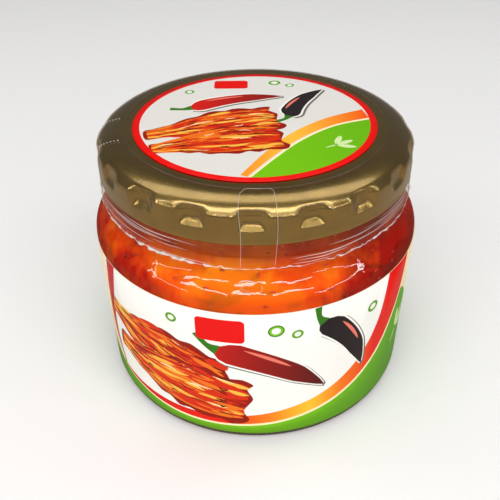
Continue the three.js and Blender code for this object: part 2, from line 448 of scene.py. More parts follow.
def brine_material():
    """Cloudy orange brine, deeper red towards the label, with painted shade: deeper red towards the sides
    and browner in the neck under the cap.
    """
    values = {"Roughness": 0.1, "IOR": 1.0, "Transmission Weight": 0.65}
    made, tree, shader = principled("Brine", values)
    axes = object_axes(tree)
    cloud = speckle(tree, 0.09, 6.0, 0.62, (1, 1, 0.6))
    shift = ranged(tree, cloud, 0.25, 0.75, -24 * MM, 24 * MM)
    # Painted shade: deeper red away from the most lit plane, with a cloudy border.
    off = maths(tree, "ADD", off_painted_light(tree, axes["X"]), shift)
    share = ranged(tree, off, 10 * MM, 40 * MM, 0.0, 1.0)
    low = ranged(tree, axes["Z"], SHOULDER_FOOT * MM, (SHOULDER_FOOT + 5) * MM, 0.3, 0.0)
    stops = [(0.0, linear(255, 166, 10)), (0.4, linear(250, 106, 2)), (1.0, linear(184, 26, 1))]
    colour = ramp(tree, maths(tree, "ADD", share, low), stops)
    # Painted shade: browner in the neck under the cap.
    neck = ranged(tree, axes["Z"], (SHOULDER_TOP - 2) * MM, (SHOULDER_TOP + 2) * MM, 0.0, 0.7)
    paint(tree, shader, blend(tree, neck, colour, linear(150, 56, 6)))
    let_lamps_through(tree, (1.0, 0.6, 0.2, 1))
    return made


def leaf_material():
    """Napa cabbage in chilli paste: pale ribs, orange leaf and red smears, with painted shade deeper red
    towards the sides.
    """
    values = {"Roughness": 0.3, "Subsurface Weight": 0.25, "Subsurface Scale": 2 * MM, "Coat Weight": 0.1}
    made, tree, shader = principled("Kimchi leaf", values)
    rib = node(tree, "ShaderNodeAttribute", attribute_name="rib").outputs["Fac"]
    paste = speckle(tree, 0.3, 5.0, 0.6)
    pale = ramp(tree, paste, [(0.35, linear(255, 206, 96)), (0.65, linear(255, 160, 40))])
    red = ramp(tree, paste, [(0.3, linear(250, 128, 20)), (0.7, linear(214, 60, 8))])
    # Painted shade: deeper red towards the sides.
    paint(tree, shader, paint_side_shade(tree, blend(tree, rib, red, pale), linear(200, 38, 2), 36))
    add_bump(tree, shader, speckle(tree, 0.9, 4.0), 0.4, 0.4)
    return made


def core_material():
    made, tree, shader = principled("Kimchi mass", {"Roughness": 0.45})
    lumps = speckle(tree, 0.12, 5.0, 0.6)
    stops = [(0.3, linear(214, 66, 8)), (0.5, linear(246, 120, 20)), (0.7, linear(255, 168, 50))]
    # Painted shade: deeper red towards the sides.
    paint(tree, shader, paint_side_shade(tree, ramp(tree, lumps, stops), linear(180, 30, 4), 34))
    add_bump(tree, shader, lumps, 0.5, 1.0)
    return made


def flake_material():
    made, tree, shader = principled("Chilli flake", {"Roughness": 0.35})
    tone = speckle(tree, 0.4, 2.0)
    paint(tree, shader, ramp(tree, tone, [(0.35, linear(120, 14, 4)), (0.65, linear(208, 30, 8))]))
    return made


# Inks, as screen colours. A graded one has stops between two places across the print.
PRINT_UNIT = 100
PLAIN_INKS = {
    "white": (248, 246, 240),
    "cap_white": (226, 224, 218),
    "red": (232, 8, 4),
    "side_red": (196, 52, 60),
    "leaf_pale": (214, 236, 170),
    "cream": (255, 240, 190),
    "green_dark": (52, 120, 20),
    "outline_grey": (120, 112, 104),
    "chilli_black": (38, 30, 34),
    "shine": (236, 120, 100),
    "paste_deep": (150, 22, 6),
    "paste_red": (216, 44, 8),
    "paste_orange": (240, 118, 24),
    "paste_yellow": (252, 190, 70),
    "paste_dark": (70, 24, 12),
}
GRADED_INKS = {
    "beige": ((-90, 90), (
        (0.0, (226, 184, 130)), (0.12, (246, 214, 164)), (0.2, (250, 226, 184)),
        (0.8, (250, 226, 184)), (0.88, (246, 214, 164)), (1.0, (226, 184, 130)),
    )),
    "sweep": ((-30, 50), (
        (0.0, (226, 6, 4)), (0.28, (236, 30, 6)), (0.42, (250, 128, 16)), (0.56, (255, 196, 44)),
        (0.68, (248, 120, 14)), (0.82, (234, 20, 4)), (1.0, (222, 4, 4)),
    )),
    "cap_sweep": ((-10, 30), ((0.0, (250, 120, 20)), (0.5, (255, 190, 60)), (1.0, (246, 90, 10)))),
    "green": ((-70, 70), ((0.0, (70, 150, 6)), (0.5, (120, 196, 12)), (1.0, (76, 158, 8)))),
    "chilli_red": ((-20, 20), ((0.0, (222, 22, 14)), (0.5, (150, 22, 18)), (1.0, (72, 18, 18)))),
}


def paper(name):
    """Coated paper: the material, its tree, the shader and its fibres."""
    made, tree, shader = principled(f"Ink {name}", {"Roughness": 0.4, "Specular IOR Level": 0.15})
    fibre = speckle(tree, 1.5, 4.0)
    add_bump(tree, shader, fibre, 0.05, 0.1)
    return made, tree, shader, fibre


def make_inks():
    """A material for each ink."""
    inks = {}
    for name, screen in PLAIN_INKS.items():
        inks[name], tree, shader, fibre = paper(name)
        colour = linear(*screen)
        deeper = tuple(0.975 * c for c in colour[:3]) + (1.0,)
        paint(tree, shader, ramp(tree, fibre, [(0.3, deeper), (0.7, colour)]))
    for name, ((left, right), stops) in GRADED_INKS.items():
        inks[name], tree, shader, _ = paper(name)
        where = node(tree, "ShaderNodeUVMap", uv_map="Print").outputs["UV"]
        across = axes_of(tree, where)["X"]
        share = ranged(tree, across, left / PRINT_UNIT, right / PRINT_UNIT, 0.0, 1.0)
        paint(tree, shader, ramp(tree, share, [(at, linear(*screen)) for at, screen in stops]))
    return inks


# Camera, light and floor, with the lamps in metres and watts
CAMERA_DISTANCE = 171.0
CAMERA_PITCH = 0.4366
CAMERA_ROLL = -0.0119
CAMERA_AIM = (-1.65, 0, TOTAL_HEIGHT - 43.73)
FOCAL_PIXELS = 623.75
PHOTO_SIDE = 500
SENSOR = 36
LAMP_AIM = (0, 0, 0.05)
LAMPS = (
    ("Overhead", 8.6, (1.9, 0.42), (0, -0.54, 1.0)),
    ("Back ceiling", 4.2, (2.0, 0.45), (0, 0.3, 1.08)),
    ("Front panel", 1.9, (1.9, 0.3), (0, -0.85, 0.7)),
    ("Left", 0.5, (0.03, 0.6), (-0.9, -0.35, 0.5)),
    ("Right", 0.4, (0.03, 0.6), (0.9, -0.3, 0.5)),
)
TUBE_POWER = 1.28
TUBE_WIDTH = 0.026
TUBE_DISTANCE = 0.9
TUBES = (
    (-1.9, -0.95, 0.44),
    (-0.85, -0.32, 0.455),
    (-0.25, 0.12, 0.435),
    (0.2, 0.62, 0.45),
    (0.74, 1.9, 0.44),
)
FLOOR_SIDE = 4.0


def make_camera():
    back = CAMERA_DISTANCE * math.cos(CAMERA_PITCH)
    above = CAMERA_DISTANCE * math.sin(CAMERA_PITCH)
    stand = Vector((0, -back, TOTAL_HEIGHT + above))
    data = bpy.data.cameras.new("Camera")
    data.sensor_width = SENSOR
    data.lens = FOCAL_PIXELS / PHOTO_SIDE * SENSOR
    data.clip_start = 0.01
    data.clip_end = 20
    camera = add_object("Camera", data)
    turn = (Vector(CAMERA_AIM) - stand).to_track_quat("-Z", "Y").to_matrix()
    camera.rotation_euler = (turn @ Matrix.Rotation(CAMERA_ROLL, 3, "Z")).to_euler()
    camera.location = stand * MM
    bpy.context.scene.camera = camera


def softbox(name, power, size, stand):
    data = bpy.data.lights.new(name, "AREA")
    data.shape = "RECTANGLE"
    data.size, data.size_y = size
    data.energy = power
    lamp = add_object(name, data)
    lamp.location = stand
    lamp.rotation_euler = (Vector(LAMP_AIM) - Vector(stand)).to_track_quat("-Z", "Y").to_euler()


def make_light():
    """Softboxes, a row of tubes whose images are the dashes on the glass, and a dim room."""
    for lamp in LAMPS:
        softbox(*lamp)
    for k, (left, right, height) in enumerate(TUBES):
        wide = right - left
        stand = ((left + right) / 2, -TUBE_DISTANCE, height)
        softbox(f"Tube {k}", TUBE_POWER * wide, (wide, TUBE_WIDTH), stand)
    world = bpy.data.worlds.new("Studio")
    world.use_nodes = True
    tree = world.node_tree
    way = node(tree, "ShaderNodeTexCoord").outputs["Generated"]
    share = ranged(tree, axes_of(tree, way)["Y"], -0.3, 0.5, 0.0, 1.0)
    shade = ramp(tree, share, [(0.0, (0.28, 0.27, 0.26, 1)), (1.0, (0.17, 0.165, 0.15, 1))])
    tree.links.new(shade, tree.nodes["Background"].inputs["Color"])
    bpy.context.scene.world = world


def make_floor():
    """A pale floor that looks dimmer in reflections, as the photo's surroundings were."""
    mesh = bpy.data.meshes.new("Floor")
    corners = [(x * FLOOR_SIDE, y * FLOOR_SIDE, 0) for x, y in ((-1, -1), (1, -1), (1, 1), (-1, 1))]
    mesh.from_pydata(corners, [], [(0, 1, 2, 3)])
    made, tree, shader = principled("Pale floor", {"Roughness": 0.7, "Specular IOR Level": 0.2})
    mirrored = node(tree, "ShaderNodeLightPath").outputs["Is Glossy Ray"]
    paint(tree, shader, ramp(tree, mirrored, [(0.0, (0.9, 0.9, 0.9, 1)), (1.0, (0.44, 0.38, 0.3, 1))]))
    mesh.materials.append(made)
    floor = add_object("Floor", mesh)


# Glass jar
def make_glass():
    ring = BODY_RADIUS - HEEL_RADIUS - STANDING_RING
    low = rounded([
        (0, PUSH_UP, 0),
        (ring - PUSH_UP, PUSH_UP, 1.2),
        (ring, 0, 0.8),
        (BODY_RADIUS, 0, HEEL_RADIUS),
        (BODY_RADIUS, SHOULDER_FOOT, 0),
    ])[:-1]
    neck = rounded([
        (NECK_RADIUS, SHOULDER_TOP, 0),
        (NECK_RADIUS - 0.6, SHOULDER_TOP + 1.8, 0.8),
        (BEAD_RADIUS, BEAD_HEIGHT - BEAD_HALF, 0.5),
        (BEAD_RADIUS, BEAD_HEIGHT + BEAD_HALF, 0.5),
        (FINISH_RADIUS, BEAD_HEIGHT + BEAD_HALF, 0.3),
        (FINISH_RADIUS, RIM_HEIGHT, 1.0),
        (MOUTH_RADIUS, RIM_HEIGHT, 1.0),
        (MOUTH_RADIUS, SHOULDER_TOP, 0),
    ], 0.25)[1:-1]
    inner = rounded([
        (CAVITY_RADIUS, SHOULDER_FOOT, 0),
        (CAVITY_RADIUS, FLOOR_HEIGHT, INNER_CORNER),
        (0, FLOOR_HEIGHT, 0),
    ])[1:]
    outside = [*low, *shoulder_line(BODY_RADIUS, NECK_RADIUS), *neck]
    inside = [*reversed(shoulder_line(CAVITY_RADIUS, MOUTH_RADIUS)), *inner]
    points, faces = turned([*outside, *inside], columns=192)
    wetted = []
    for face in faces:
        z = sum(points[corner][2] for corner in face) / len(face)
        reach = max(math.hypot(*points[corner][:2]) for corner in face)
        inner_face = reach < cavity_radius(z) + 0.3 and z > PUSH_UP + 1
        wetted.append(1 if inner_face and z < FILL_HEIGHT else 0)
    materials = [glass_material(), wetted_material()]
    make_piece("glass_jar", points, faces, "glass", "jar_glass", materials, wetted)


# Cap
def edge_drop(turn):
    """How far the cap's rounded edge lies below its panel: 0 at the panel, CAP_EDGE at the skirt."""
    return CAP_EDGE * (1 - math.cos(turn)) ** CAP_EDGE_POWER


def cap_line(steps=30):
    """The cap's outer line from the skirt up over its rounded edge to the panel."""
    line = []
    for i in range(steps + 1):
        turn = math.pi / 2 * (1 - i / steps)
        line.append((mix(PANEL_RADIUS, CAP_RADIUS, math.sin(turn)), CAP_TOP - edge_drop(turn)))
    return line


def dimple_depth(angle, z):
    """How far the cap's side is pressed in at a place. A dimple slopes at its foot and sides and ends
    in the cap's rounded edge."""
    pitch = TAU / DIMPLES
    off = (angle - FIRST_DIMPLE + pitch / 2) % pitch - pitch / 2
    across = smooth((DIMPLE_HALF_WIDTH - abs(off) * CAP_RADIUS) / DIMPLE_SIDE)
    up = min(max((z - DIMPLE_BOTTOM) / DIMPLE_SLOPE, 0.0), 1.0)
    foot = mix(up, 1 - (1 - up) ** 2, 0.6)
    return DIMPLE_DEPTH * across * foot * smooth((DIMPLE_TOP - z) / DIMPLE_END)


def make_cap():
    curl_steps, skirt_rows = 12, 22
    curl_centre = CAP_RADIUS - 0.3
    skirt_foot = CAP_BOTTOM + CURL
    curl_line = []
    for i in range(curl_steps + 1):
        turn = math.radians(mix(-180, 20, i / curl_steps))
        curl_line.append((curl_centre + CURL * math.cos(turn), skirt_foot + CURL * math.sin(turn)))
    heights = [mix(skirt_foot + 0.8, CAP_TOP - CAP_EDGE, i / skirt_rows) for i in range(skirt_rows)]
    skirt = [(CAP_RADIUS, z) for z in heights]
    outside = [*curl_line, *skirt, *cap_line()]
    inside = [(radius - SHEET, z) for radius, z in skirt]
    inside += [(radius - SHEET * 0.7, z - SHEET) for radius, z in cap_line()]
    columns = DIMPLES * 32

    def press(radius, angle, z):
        return radius - dimple_depth(angle, z)

    points = ring_points([*outside, *reversed(inside)], columns, press)
    under_edge = len(outside) * columns
    top_edge = under_edge - columns
    foot = len(points) - columns
    top, under = len(points), len(points) + 1
    points += [(0, 0, CAP_TOP), (0, 0, CAP_TOP - SHEET)]
    faces = skin_faces(len(outside), columns) + skin_faces(len(inside), columns, under_edge)
    for i in range(columns):
        j = (i + 1) % columns
        faces.append((top, top_edge + i, top_edge + j))
        faces.append((under, under_edge + j, under_edge + i))
        faces.append((foot + i, foot + j, j, i))
    make_piece("gold_cap", points, faces, "cap_gold", "cap", [cap_material()])


# Print outlines
def oval(x, y, wide, high, turn=0.0, steps=48):
    angles = [TAU * i / steps for i in range(steps)]
    return [spun(x, y, wide * math.cos(a), high * math.sin(a), turn) for a in angles]


def curve(points, closed=True, steps=8):
    """A smooth line through the points."""
    line = []
    count = len(points)
    for k in range(count if closed else count - 1):
        places = [k + i for i in (-1, 0, 1, 2)]
        near = [points[p % count if closed else min(max(p, 0), count - 1)] for p in places]
        for i in range(steps):
            t = i / steps
            weights = (
                (-t + 2 * t * t - t ** 3) / 2,
                (2 - 5 * t * t + 3 * t ** 3) / 2,
                (t + 4 * t * t - 3 * t ** 3) / 2,
                (t ** 3 - t * t) / 2,
            )
            line.append(tuple(sum(w * p[axis] for w, p in zip(weights, near)) for axis in (0, 1)))
    if not closed:
        line.append(points[-1])
    return line


def ribbon(points, widths, steps=10):
    """A band along a smooth line, with its width given at each point."""
    middle = curve(points, closed=False, steps=steps)
    wide = curve([(w, 0) for w in widths], closed=False, steps=steps)
    left, right = [], []
    for k, (x, y) in enumerate(middle):
        ahead = Vector(middle[min(k + 1, len(middle) - 1)]) - Vector(middle[max(k - 1, 0)])
        ahead.normalize()
        half = max(wide[k][0], 0.02) / 2
        left.append((x - ahead.y * half, y + ahead.x * half))
        right.append((x + ahead.y * half, y - ahead.x * half))
    return left + right[::-1]


def streak(x, y, length, width, turn, bend, steps=9):
    """A curved leaf-shaped stroke."""
    upper, lower = [], []
    for i in range(steps + 1):
        t = 2 * i / steps - 1
        along, rise = t * length / 2, bend * (1 - t * t)
        half = width / 2 * (1 - t * t) ** 0.7 + 0.03
        upper.append(spun(x, y, along, rise + half, turn))
        lower.append(spun(x, y, along, rise - half, turn))
    return upper + lower[::-1]


def rounded_box(x, y, wide, high, corner):
    line = []
    steps = 5
    for cx, cy, start in ((1, 1, 0), (-1, 1, 90), (-1, -1, 180), (1, -1, 270)):
        for i in range(steps + 1):
            a = math.radians(start + 90 * i / steps)
            across = x + cx * (wide / 2 - corner) + corner * math.cos(a)
            line.append((across, y + cy * (high / 2 - corner) + corner * math.sin(a)))
    return line


# Print motifs, each a list of (ink, outline) with the last on top
PASTE_LAYERS = (
    ("paste_red", 30, 0.30, 0.045),
    ("paste_orange", 22, 0.26, 0.035),
    ("paste_yellow", 16, 0.22, 0.026),
    ("paste_red", 24, 0.24, 0.020),
    ("cream", 8, 0.12, 0.010),
    ("paste_deep", 20, 0.18, 0.014),
    ("paste_dark", 14, 0.08, 0.012),
)


def cabbage(x, y, size, turn, seed):
    """A wedge of seasoned cabbage: ribs that fan out from the stem end, under streaks of paste."""
    draw = random.Random(seed)

    def half(t):
        return size * (0.07 + 0.17 * smooth(1.5 * t) - 0.05 * t * t)

    def at(t, w):
        return spun(x, y, (t - 0.5) * size, w * half(t) + size * 0.05 * math.sin(2.4 * t), turn)

    def strip(start, end, w, width, bend):
        knots = [mix(start, end, i / 4) for i in range(5)]
        line = [at(t, w + bend * math.sin(math.pi * i / 4)) for i, t in enumerate(knots)]
        return ribbon(line, [width * k for k in (0.25, 0.9, 1.0, 0.8, 0.12)], 3)

    steps = 14
    rim = [at(i / steps, 1 + 0.07 * math.sin(2.1 * i + seed)) for i in range(steps + 1)]
    rim += [at(1 + 0.03 * math.sin(7 * w), w) for w in (0.7, 0.35, 0, -0.35, -0.7)]
    rim += [at(i / steps, -1 - 0.07 * math.sin(2.6 * i + seed)) for i in reversed(range(steps + 1))]
    shapes = [("paste_deep", curve(rim, steps=3))]
    ribs = 9
    for k in range(ribs):
        w = 1.75 * (k + 0.5) / ribs - 0.875
        ink = ("paste_orange", "paste_yellow", "paste_orange", "paste_red")[k % 4]
        width = 2 * half(0.6) / ribs * draw.uniform(0.85, 1.25)
        shapes.append((ink, strip(0.02, draw.uniform(0.8, 0.98), w, width, draw.uniform(-0.08, 0.08))))
    for ink, count, length, width in PASTE_LAYERS:
        for _ in range(count):
            start = draw.uniform(0.04, 0.9)
            end = min(0.99, start + length * draw.uniform(0.5, 1.3))
            w = draw.uniform(-0.86, 0.86)
            wide = size * width * draw.uniform(0.7, 1.2)
            shapes.append((ink, strip(start, end, w, wide, draw.uniform(-0.1, 0.1))))
    return shapes


def chilli(x, y, length, width, turn, bend, ink):
    """A long chilli with a pale edge, a shine line and a green stalk."""
    def along(t, side):
        return spun(x, y, (t - 0.5) * length, bend * (1 - (2 * t - 1) ** 2) + side, turn)

    def body(grow, steps=14):
        upper, lower = [], []
        for i in range(steps + 1):
            t = i / steps
            plump = width / 2 * min(1, 3.2 * (1 - t) + 0.02) ** 0.6 * smooth(0.35 + 5 * t)
            half = (plump + grow) * (1 - 0.45 * t)
            upper.append(along(t, half))
            lower.append(along(t, -half))
        return upper + lower[::-1]

    stalk = [along(0.02, 0), along(-0.08, width * 0.12), along(-0.2, width * 0.5)]
    return [
        ("outline_grey", [(px + 0.5, py - 0.5) for px, py in body(0.75)]),
        ("white", body(0.65)),
        (ink, body(0)),
        ("shine", streak(*along(0.4, width * 0.18), length * 0.42, width * 0.12, turn, bend * 0.2)),
        ("green_dark", ribbon(stalk, [width * 0.42, width * 0.2, width * 0.24])),
    ]


def onion_ring(x, y, size):
    return [
        ("green_dark", oval(x, y, size, size * 0.92, 0.4, 28)),
        ("green", oval(x, y, size * 0.84, size * 0.76, 0.4, 24)),
        ("white", oval(x, y, size * 0.55, size * 0.5, 0.4, 20)),
    ]


def leaf_sprig(x, y, size, turn):
    """Three pale leaves on a stalk."""
    shapes = []
    for spread in (-0.7, 0.0, 0.7):
        way = turn + spread
        middle = (x + 0.5 * size * math.cos(way), y + 0.5 * size * math.sin(way))
        shapes.append(("leaf_pale", streak(*middle, size * 0.8, size * 0.26, way, 0)))
    foot = (x - 0.45 * size * math.cos(turn), y - 0.45 * size * math.sin(turn))
    shapes.append(("leaf_pale", ribbon([foot, (x, y)], [size * 0.05, size * 0.09])))
    return shapes


# Print sheets
def cut_sheet(design, outline, lines):
    """The plane split into triangles along every outline of the design, each with its topmost shape."""
    vertices, edges, faces = [], [], []
    for shape in [outline, *[line for _, line in design]]:
        area = sum(a[0] * b[1] - b[0] * a[1] for a, b in zip(shape, [*shape[1:], shape[0]]))
        if area < 0:
            shape = shape[::-1]
        first = len(vertices)
        vertices += [Vector(p) for p in shape]
        faces.append(list(range(first, first + len(shape))))
    for a, b in lines:
        edges.append((len(vertices), len(vertices) + 1))
        vertices += [Vector(a), Vector(b)]
    flat, _, triangles, _, _, owners = delaunay_2d_cdt(vertices, edges, faces, 0, 1e-4, True)
    inside = [(tuple(triangle), max(owner) - 1) for triangle, owner in zip(triangles, owners) if 0 in owner]
    return [(p.x, p.y) for p in flat], inside


def print_piece(name, slot, replaced, design, base, outline, lines, lift, inks):
    """A closed thin sheet whose outer face is cut along the design. lift(x, y, share) puts a flat point
    in place, with share 1 on the outer face and 0 on the inner."""
    flat, inside = cut_sheet(design, outline, lines)
    used = sorted({corner for triangle, _ in inside for corner in triangle})
    number = {corner: k for k, corner in enumerate(used)}
    count = len(used)
    points = [lift(*flat[c], share) for share in (1.0, 0.0) for c in used]
    uv = [(flat[c][0] / PRINT_UNIT, flat[c][1] / PRINT_UNIT) for c in used] * 2
    names = sorted({ink for ink, _ in design} | {base})
    base_index = names.index(base)
    faces, indices = [], []
    border = {}
    for triangle, owner in inside:
        a, b, c = (number[v] for v in triangle)
        ink = base if owner < 0 else design[owner][0]
        faces += [(a, b, c), (c + count, b + count, a + count)]
        indices += [names.index(ink), base_index]
        for edge in ((a, b), (b, c), (c, a)):
            if edge[::-1] in border:
                del border[edge[::-1]]
            else:
                border[edge] = True
    for a, b in border:
        faces.append((b, a, a + count, b + count))
        indices.append(base_index)
    make_piece(name, points, faces, slot, replaced, [inks[n] for n in names], indices, uv)


# Body label, in millimetres to the right of the jar's front and up from the label's lower edge
SWEEP = (
    (45, LABEL_HEIGHT + 5), (43.6, 37), (40, 27.5), (33, 18.5), (22, 11.5), (8, 7.2), (-8, 5), (-26, 4.4),
    (-46, 6),
)
SWEEP_WIDTHS = (12, 11, 9, 7.2, 5.6, 4.6, 3.6, 2.6, 0.8)
SWEEP_OUTWARDS = (
    (1, 0), (1, -0.15), (0.9, -0.4), (0.7, -0.7), (0.5, -0.87), (0.25, -0.97), (0.1, -1), (0, -1), (0, -1),
)


def body_design():
    field = [*SWEEP, (-51, 18), (-50, 32), (-46, LABEL_HEIGHT + 6), (0, LABEL_HEIGHT + 8)]
    ground = [(120, -8), (110, 17), (80, 15), (60, 24), (49, 33), *SWEEP[2:]]
    ground += [(-60, 13), (-80, 17), (-118, 12), (-120, -8)]
    side_line = [(-44.5, LABEL_HEIGHT + 4), (-49, 32), (-50.3, 18), (-46, 6.4)]
    lower = []
    for (x, y), width, (right, up) in zip(SWEEP, SWEEP_WIDTHS, SWEEP_OUTWARDS):
        lower.append((x + right * width / 2, y + up * width / 2))
    design = [
        ("green", curve(ground)),
        ("white", curve(field)),
        ("side_red", ribbon(side_line, [5, 4.2, 2.6, 0.8])),
        ("sweep", ribbon(SWEEP, SWEEP_WIDTHS)),
        ("cream", ribbon(lower, [0.8, 0.8, 0.9, 1.0, 1.0, 0.9, 0.8, 0.7, 0.3])),
        *leaf_sprig(50, 17, 9, 0.9),
        *cabbage(-29, 24, 42, -0.28, 5),
        *cabbage(-24, 14.5, 44, -0.18, 12),
        *chilli(4, 24.5, 33, 8.6, -0.5, 2.6, "chilli_red"),
        *chilli(24, 29, 26, 7.6, -1.0, 2.4, "chilli_black"),
        ("red", rounded_box(-9, 39.2, 12.5, 7.6, 1.2)),
    ]
    for x, y, size in ((5, 39.5, 2.1), (10.4, 37.6, 1.5), (33, 37.5, 1.8), (-22, 40, 1.6)):
        design += onion_ring(x, y, size)
    back = math.pi * LABEL_RADIUS - 26
    design.append(("outline_grey", rounded_box(back, 24, 44, 32, 3)))
    design.append(("white", rounded_box(back, 24, 43.2, 31.2, 2.6)))
    for row in range(6):
        design.append(("outline_grey", rounded_box(back, 13.5 + 4.2 * row, 37, 0.25, 0.1)))
    return design


def make_body_label(inks):
    """The label runs round the jar and a little over its own end at the back."""
    paper_thickness = 0.12
    inner_radius = BODY_RADIUS + 0.04
    radius = inner_radius + paper_thickness
    around_half = math.pi * radius
    overlap = 5.0
    overlap_rise = 0.16
    top_tilt = 0.25
    end = around_half + overlap
    outline = [(-around_half, 0), (end, 0), (end, LABEL_HEIGHT), (-around_half, LABEL_HEIGHT)]
    columns = 132
    places = [mix(-around_half, end, i / columns) for i in range(1, columns)]
    lines = [((s, 0), (s, LABEL_HEIGHT)) for s in places]

    def lift(s, z, share):
        step = overlap_rise * smooth((s - around_half + 2.5) / 2.5)
        tilt = top_tilt * math.sin(s / radius) * (z > LABEL_HEIGHT / 2)
        height = LABEL_BOTTOM + 0.2 + z * (LABEL_HEIGHT - 0.5) / LABEL_HEIGHT + tilt
        return around(inner_radius + paper_thickness * share + step, s / radius, height)

    print_piece("body_label_print", "label_paper", "body_label", body_design(), "beige", outline, lines,
                lift, inks)


# Cap label, in millimetres from its middle
CAP_SWEEP = ((30.6, 3.5), (20, -1.5), (10.8, -9.5), (3.6, -19.5), (-2.6, -30))
CAP_SWEEP_LOWER = ((31, 0.2), (20.9, -4.0), (12, -11.8), (5.2, -20.8), (-1.0, -30.4))


def keep_in(point, radius):
    """The point, drawn in to a circle where it lies outside."""
    far = math.hypot(*point)
    return point if far <= radius else (point[0] * radius / far, point[1] * radius / far)


def cap_design():
    edge = CAP_LABEL_RADIUS - 1.9
    green = [(edge * math.cos(math.radians(d)), edge * math.sin(math.radians(d))) for d in range(-92, 1, 4)]
    hill = curve([green[-1], (21, -4), (12, -12), (5, -21), green[0]], closed=False)
    design = [
        ("cap_white", oval(0, 0, edge, edge, 0, 96)),
        ("green", green + hill[1:-1]),
        ("cap_sweep", ribbon(CAP_SWEEP, [5.4, 4.4, 3.6, 2.8, 1.8])),
        ("cream", ribbon(CAP_SWEEP_LOWER, [0.7, 0.7, 0.7, 0.6, 0.5])),
        *leaf_sprig(20, -15, 6, 0.5),
        *cabbage(-11, -4.5, 36, 0.26, 11),
        *cabbage(-9.5, -14, 34, 0.16, 23),
        *chilli(-5, 11.5, 27, 7.0, 0.3, 2.2, "chilli_red"),
        *chilli(14.5, 11, 21, 6.4, 1.05, 2.0, "chilli_black"),
        ("red", rounded_box(-7, 24.3, 10, 6, 1.0)),
    ]
    for x, y, size in ((6, 25.5, 1.8), (10.5, 23.5, 1.3), (-19, 19, 1.4)):
        design += onion_ring(x, y, size)
    return [(ink, [keep_in(p, edge) for p in line]) for ink, line in design]


def make_cap_label(inks):
    outline = oval(0, 0, CAP_LABEL_RADIUS, CAP_LABEL_RADIUS, 0, 160)
    near, far = 0.1, CAP_LABEL_RADIUS * 0.97
    spokes = 24
    lines = []
    for i in range(spokes):
        x, y = math.cos(TAU * i / spokes), math.sin(TAU * i / spokes)
        lines.append(((near * x, near * y), (far * x, far * y)))

    def lift(x, y, share):
        return (x, y, CAP_LABEL_TOP if share else CAP_LABEL_BOTTOM + 0.05)

    print_piece("cap_label_print", "cap_paper", "cap_label", cap_design(), "red", outline, lines, lift, inks)


# Film
STRETCH_RIDGES = ((1.2, 0.24, 0.35), (2.5, 0.1, 0.3), (3.7, 0.22, 0.4), (4.9, 0.12, 0.3))


def film_edge(angle):
    """Height of the film's ragged lower edge."""
    wave = 0.8 * math.sin(2 * angle + 0.9) + 0.5 * math.sin(5 * angle + 2.2) + 0.28 * math.sin(11 * angle)
    off = abs((angle + math.pi) % TAU - math.pi)
    return FILM_BOTTOM + 0.45 * wave + 1.9 * smooth(off / 1.2)


def film_neck(angle, z, low):
    """Radius of the film between its lower edge and the cap, with stretch ridges and a crinkled lip."""
    x, y, _ = around(1, angle, 0)
    on_glass = glass_radius(z) + 0.25
    hang = mix(on_glass, CAP_RADIUS + FILM_GAP, smooth((z - SHOULDER_TOP + 1) / 2.4))
    radius = max(on_glass, hang)
    for below, height, width in STRETCH_RIDGES:
        centre = CAP_BOTTOM - below + 0.35 * wobble(x * 2, y * 2, below)
        strength = 0.5 + 0.9 * wobble(x * 4, y * 4, below + 9)
        radius += height * max(0.0, strength) * math.exp(-((z - centre) / width) ** 2)
    lip = max(0.0, 1 - (z - low) / 1.2) ** 2
    crinkle = wobble(x * 26, y * 26, z * 0.9)
    fold = wobble(x * 9, y * 9, z * 0.7 + 3)
    return radius + lip * (0.45 + 0.35 * crinkle + 0.25 * fold) + 0.12 * fold * (1 - smooth((z - low) / 5))


def film_surface(row_place, angle):
    """Radius and height of the film at a row place. The places run from 0 at its lower edge by 1 at the
    cap's foot and 2 at the top of the skirt to 3 at its inner edge."""
    low = film_edge(angle)
    if row_place < 1:
        z = mix(low, CAP_BOTTOM, row_place)
        return film_neck(angle, z, low), z
    on_cap = CAP_RADIUS + FILM_GAP
    if row_place < 2:
        x, y, _ = around(1, angle, 0)
        z = mix(CAP_BOTTOM, CAP_TOP - CAP_EDGE, row_place - 1)
        return on_cap - FILM_SAG * dimple_depth(angle, z) + 0.05 * wobble(x * 5, y * 5, z * 0.5), z
    turn = math.pi / 2 * (3 - row_place)
    inner = FILM_INNER_EDGE - PANEL_RADIUS + 0.4 * math.sin(angle * 2 + 1) - 0.3 * math.cos(angle)
    radius = mix(PANEL_RADIUS, on_cap, math.sin(turn)) + inner * max(0.0, (row_place - 2.9) / 0.1)
    z = CAP_TOP + FILM_GAP - edge_drop(turn)
    return radius - FILM_SAG * dimple_depth(angle, z), z


def glass_surface(z, _):
    return glass_radius(z) + 0.02, z


def film_points(row_places, angles, lift):
    """Rows of points on the film, lifted outwards by so many millimetres."""
    points = []
    for row_place in row_places:
        for angle in angles:
            radius, z = film_surface(row_place, angle)
            up = smooth(row_place - 2)
            points.append(around(radius + lift * (1 - up), angle, z + lift * up))
    return points


def make_film():
    columns = 480
    neck_rows, skirt_rows, edge_rows = 52, 8, 20
    rows = [i / neck_rows for i in range(neck_rows)]
    rows += [1 + i / skirt_rows for i in range(skirt_rows)]
    rows += [2 + i / edge_rows for i in range(edge_rows + 1)]
    angles = [TAU * i / columns for i in range(columns)]
    points = film_points(rows, angles, FILM) + film_points(rows[::-1], angles, 0.0)
    faces = skin_faces(2 * len(rows), columns, looped=True)
    make_piece("film_band", points, faces, "film", "shrink_film", [film_material()])


# Marks on the film, raised as thin flat cords: perforation rims and white painted highlights
def on_surface(surface, row_place, angle):
    radius, z = surface(row_place, angle)
    return Vector(around(radius, angle, z))


